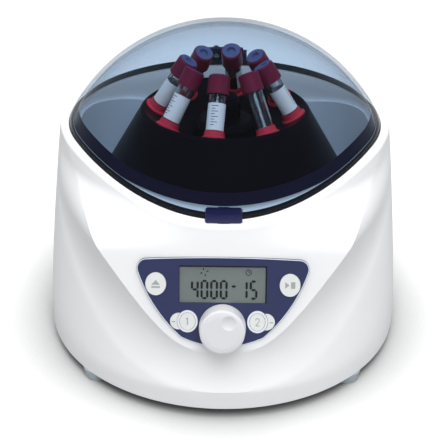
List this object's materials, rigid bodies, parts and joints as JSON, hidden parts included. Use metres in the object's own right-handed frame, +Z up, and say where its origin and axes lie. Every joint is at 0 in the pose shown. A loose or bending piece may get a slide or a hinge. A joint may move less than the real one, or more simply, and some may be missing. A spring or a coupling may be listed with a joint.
{
  "type": "low-speed centrifuge",
  "caption": "Benchtop low-speed centrifuge: oval white body, tinted dome lid, fixed-angle tube rotor, and a sloping control panel with display, keys and knob.",
  "frame": {"origin": "on the table plane under the middle of the whole outline", "axes": "+Z up, -Y towards the user and the control panel, +X to the user's right"},
  "size_m": [0.275, 0.3084, 0.2325],
  "materials": {
    "white_shell": "satin white moulding",
    "knob_white": "satin",
    "bowl_white": "gloss",
    "grey_paint": "satin",
    "clear_rubber": "soft, slightly translucent",
    "black_rubber": "matte",
    "steel": "brushed",
    "steel_core": "laminated",
    "tinted_dome": "clear blue-violet tint, polished",
    "indigo_trim": "gloss",
    "indigo_panel": "satin",
    "black_rotor": "satin",
    "aluminium": "machined",
    "red_sleeve": "gloss",
    "clear_tube": "clear",
    "red_cap": "gloss",
    "grey_stopper": "matte",
    "clear_window": "clear",
    "lcd_grey": "grey-green display",
    "board_green": "lacquered",
    "white_nylon": "matte",
    "key_white": "satin",
    "black_plastic": "satin"
  },
  "bodies": {
    "base": {"housing": "white_shell", "chamber_bowl": "bowl_white", "base_tray": "grey_paint", "rubber_feet": "clear_rubber", "foot_screws": "steel", "body_screws": "steel", "bowl_screws": "steel", "bowl_seal": "black_rubber", "lock_body": "grey_paint", "hinge_bracket": "indigo_trim", "hinge_pin": "steel", "hinge_screws": "steel", "motor_housing": "grey_paint", "motor_stator": "steel_core", "lower_bearing": "steel", "upper_bearing": "steel", "motor_plate": "steel", "motor_dampers": "black_rubber", "damper_screws": "steel", "control_panel": "indigo_panel", "display_window": "clear_window", "lcd_module": "lcd_grey", "control_board": "board_green", "board_spacers": "white_nylon", "board_screws": "steel", "key_bezels": "key_white", "key_switches": "black_plastic", "encoder_body": "black_plastic", "supply_board": "board_green", "supply_parts": "black_plastic", "power_inlet": "black_plastic", "switch_frame": "black_plastic"},
    "lid": {"lid_dome": "tinted_dome", "lid_seal": "black_rubber", "latch_tab": "indigo_trim", "latch_hook": "steel", "hinge_leaf": "indigo_trim", "leaf_screws": "steel"},
    "rotor": {"rotor_bell": "black_rotor", "rotor_hub": "aluminium", "rotor_nut": "black_rotor", "tube_sleeves": "red_sleeve", "sample_tubes": "clear_tube", "tube_caps": "red_cap", "cap_stoppers": "grey_stopper", "motor_shaft": "steel", "motor_armature": "steel_core"},
    "knob": {"knob": "knob_white", "encoder_shaft": "steel"},
    "open_key_body": {"open_key": "key_white"},
    "start_key_body": {"start_key": "key_white"},
    "program_key_1_body": {"program_key_1": "key_white"},
    "program_key_2_body": {"program_key_2": "key_white"},
    "store_key_1_body": {"store_key_1": "key_white"},
    "store_key_2_body": {"store_key_2": "key_white"},
    "power_rocker_body": {"power_rocker": "black_plastic"},
    "lock_bolt_body": {"lock_bolt": "steel"}
  },
  "joints": [
    {"name": "lid_hinge", "type": "hinge", "parent": "base", "child": "lid", "pos_m": [0, 0.1497, 0.166], "axis": [-1, 0, 0], "range_deg": [0, 80]},
    {"name": "rotor_spin", "type": "hinge", "parent": "base", "child": "rotor", "pos_m": [0, 0.0242, 0.12], "axis": [0, 0, 1], "continuous": true},
    {"name": "knob_turn", "type": "hinge", "parent": "base", "child": "knob", "pos_m": [0, -0.13256, 0.06782], "axis": [0, -0.9489, 0.3156], "continuous": true},
    {"name": "open_key_press", "type": "slide", "parent": "base", "child": "open_key_body", "axis": [0, 0.9489, -0.3156], "range_m": [0, 0.0008], "stiffness_N_per_m": 2000},
    {"name": "start_key_press", "type": "slide", "parent": "base", "child": "start_key_body", "axis": [0, 0.9489, -0.3156], "range_m": [0, 0.0008], "stiffness_N_per_m": 2000},
    {"name": "program_key_1_press", "type": "slide", "parent": "base", "child": "program_key_1_body", "axis": [0, 0.9489, -0.3156], "range_m": [0, 0.0008], "stiffness_N_per_m": 2000},
    {"name": "program_key_2_press", "type": "slide", "parent": "base", "child": "program_key_2_body", "axis": [0, 0.9489, -0.3156], "range_m": [0, 0.0008], "stiffness_N_per_m": 2000},
    {"name": "store_key_1_press", "type": "slide", "parent": "base", "child": "store_key_1_body", "axis": [0, 0.9489, -0.3156], "range_m": [0, 0.0008], "stiffness_N_per_m": 2000},
    {"name": "store_key_2_press", "type": "slide", "parent": "base", "child": "store_key_2_body", "axis": [0, 0.9489, -0.3156], "range_m": [0, 0.0008], "stiffness_N_per_m": 2000},
    {"name": "power_rocker_tilt", "type": "hinge", "parent": "base", "child": "power_rocker_body", "pos_m": [0.022, 0.1462, 0.039], "axis": [-1, 0, 0], "range_deg": [0, 16]},
    {"name": "lock_bolt_slide", "type": "slide", "parent": "base", "child": "lock_bolt_body", "axis": [-1, 0, 0], "range_m": [0, 0.006], "stiffness_N_per_m": 250}
  ]
}
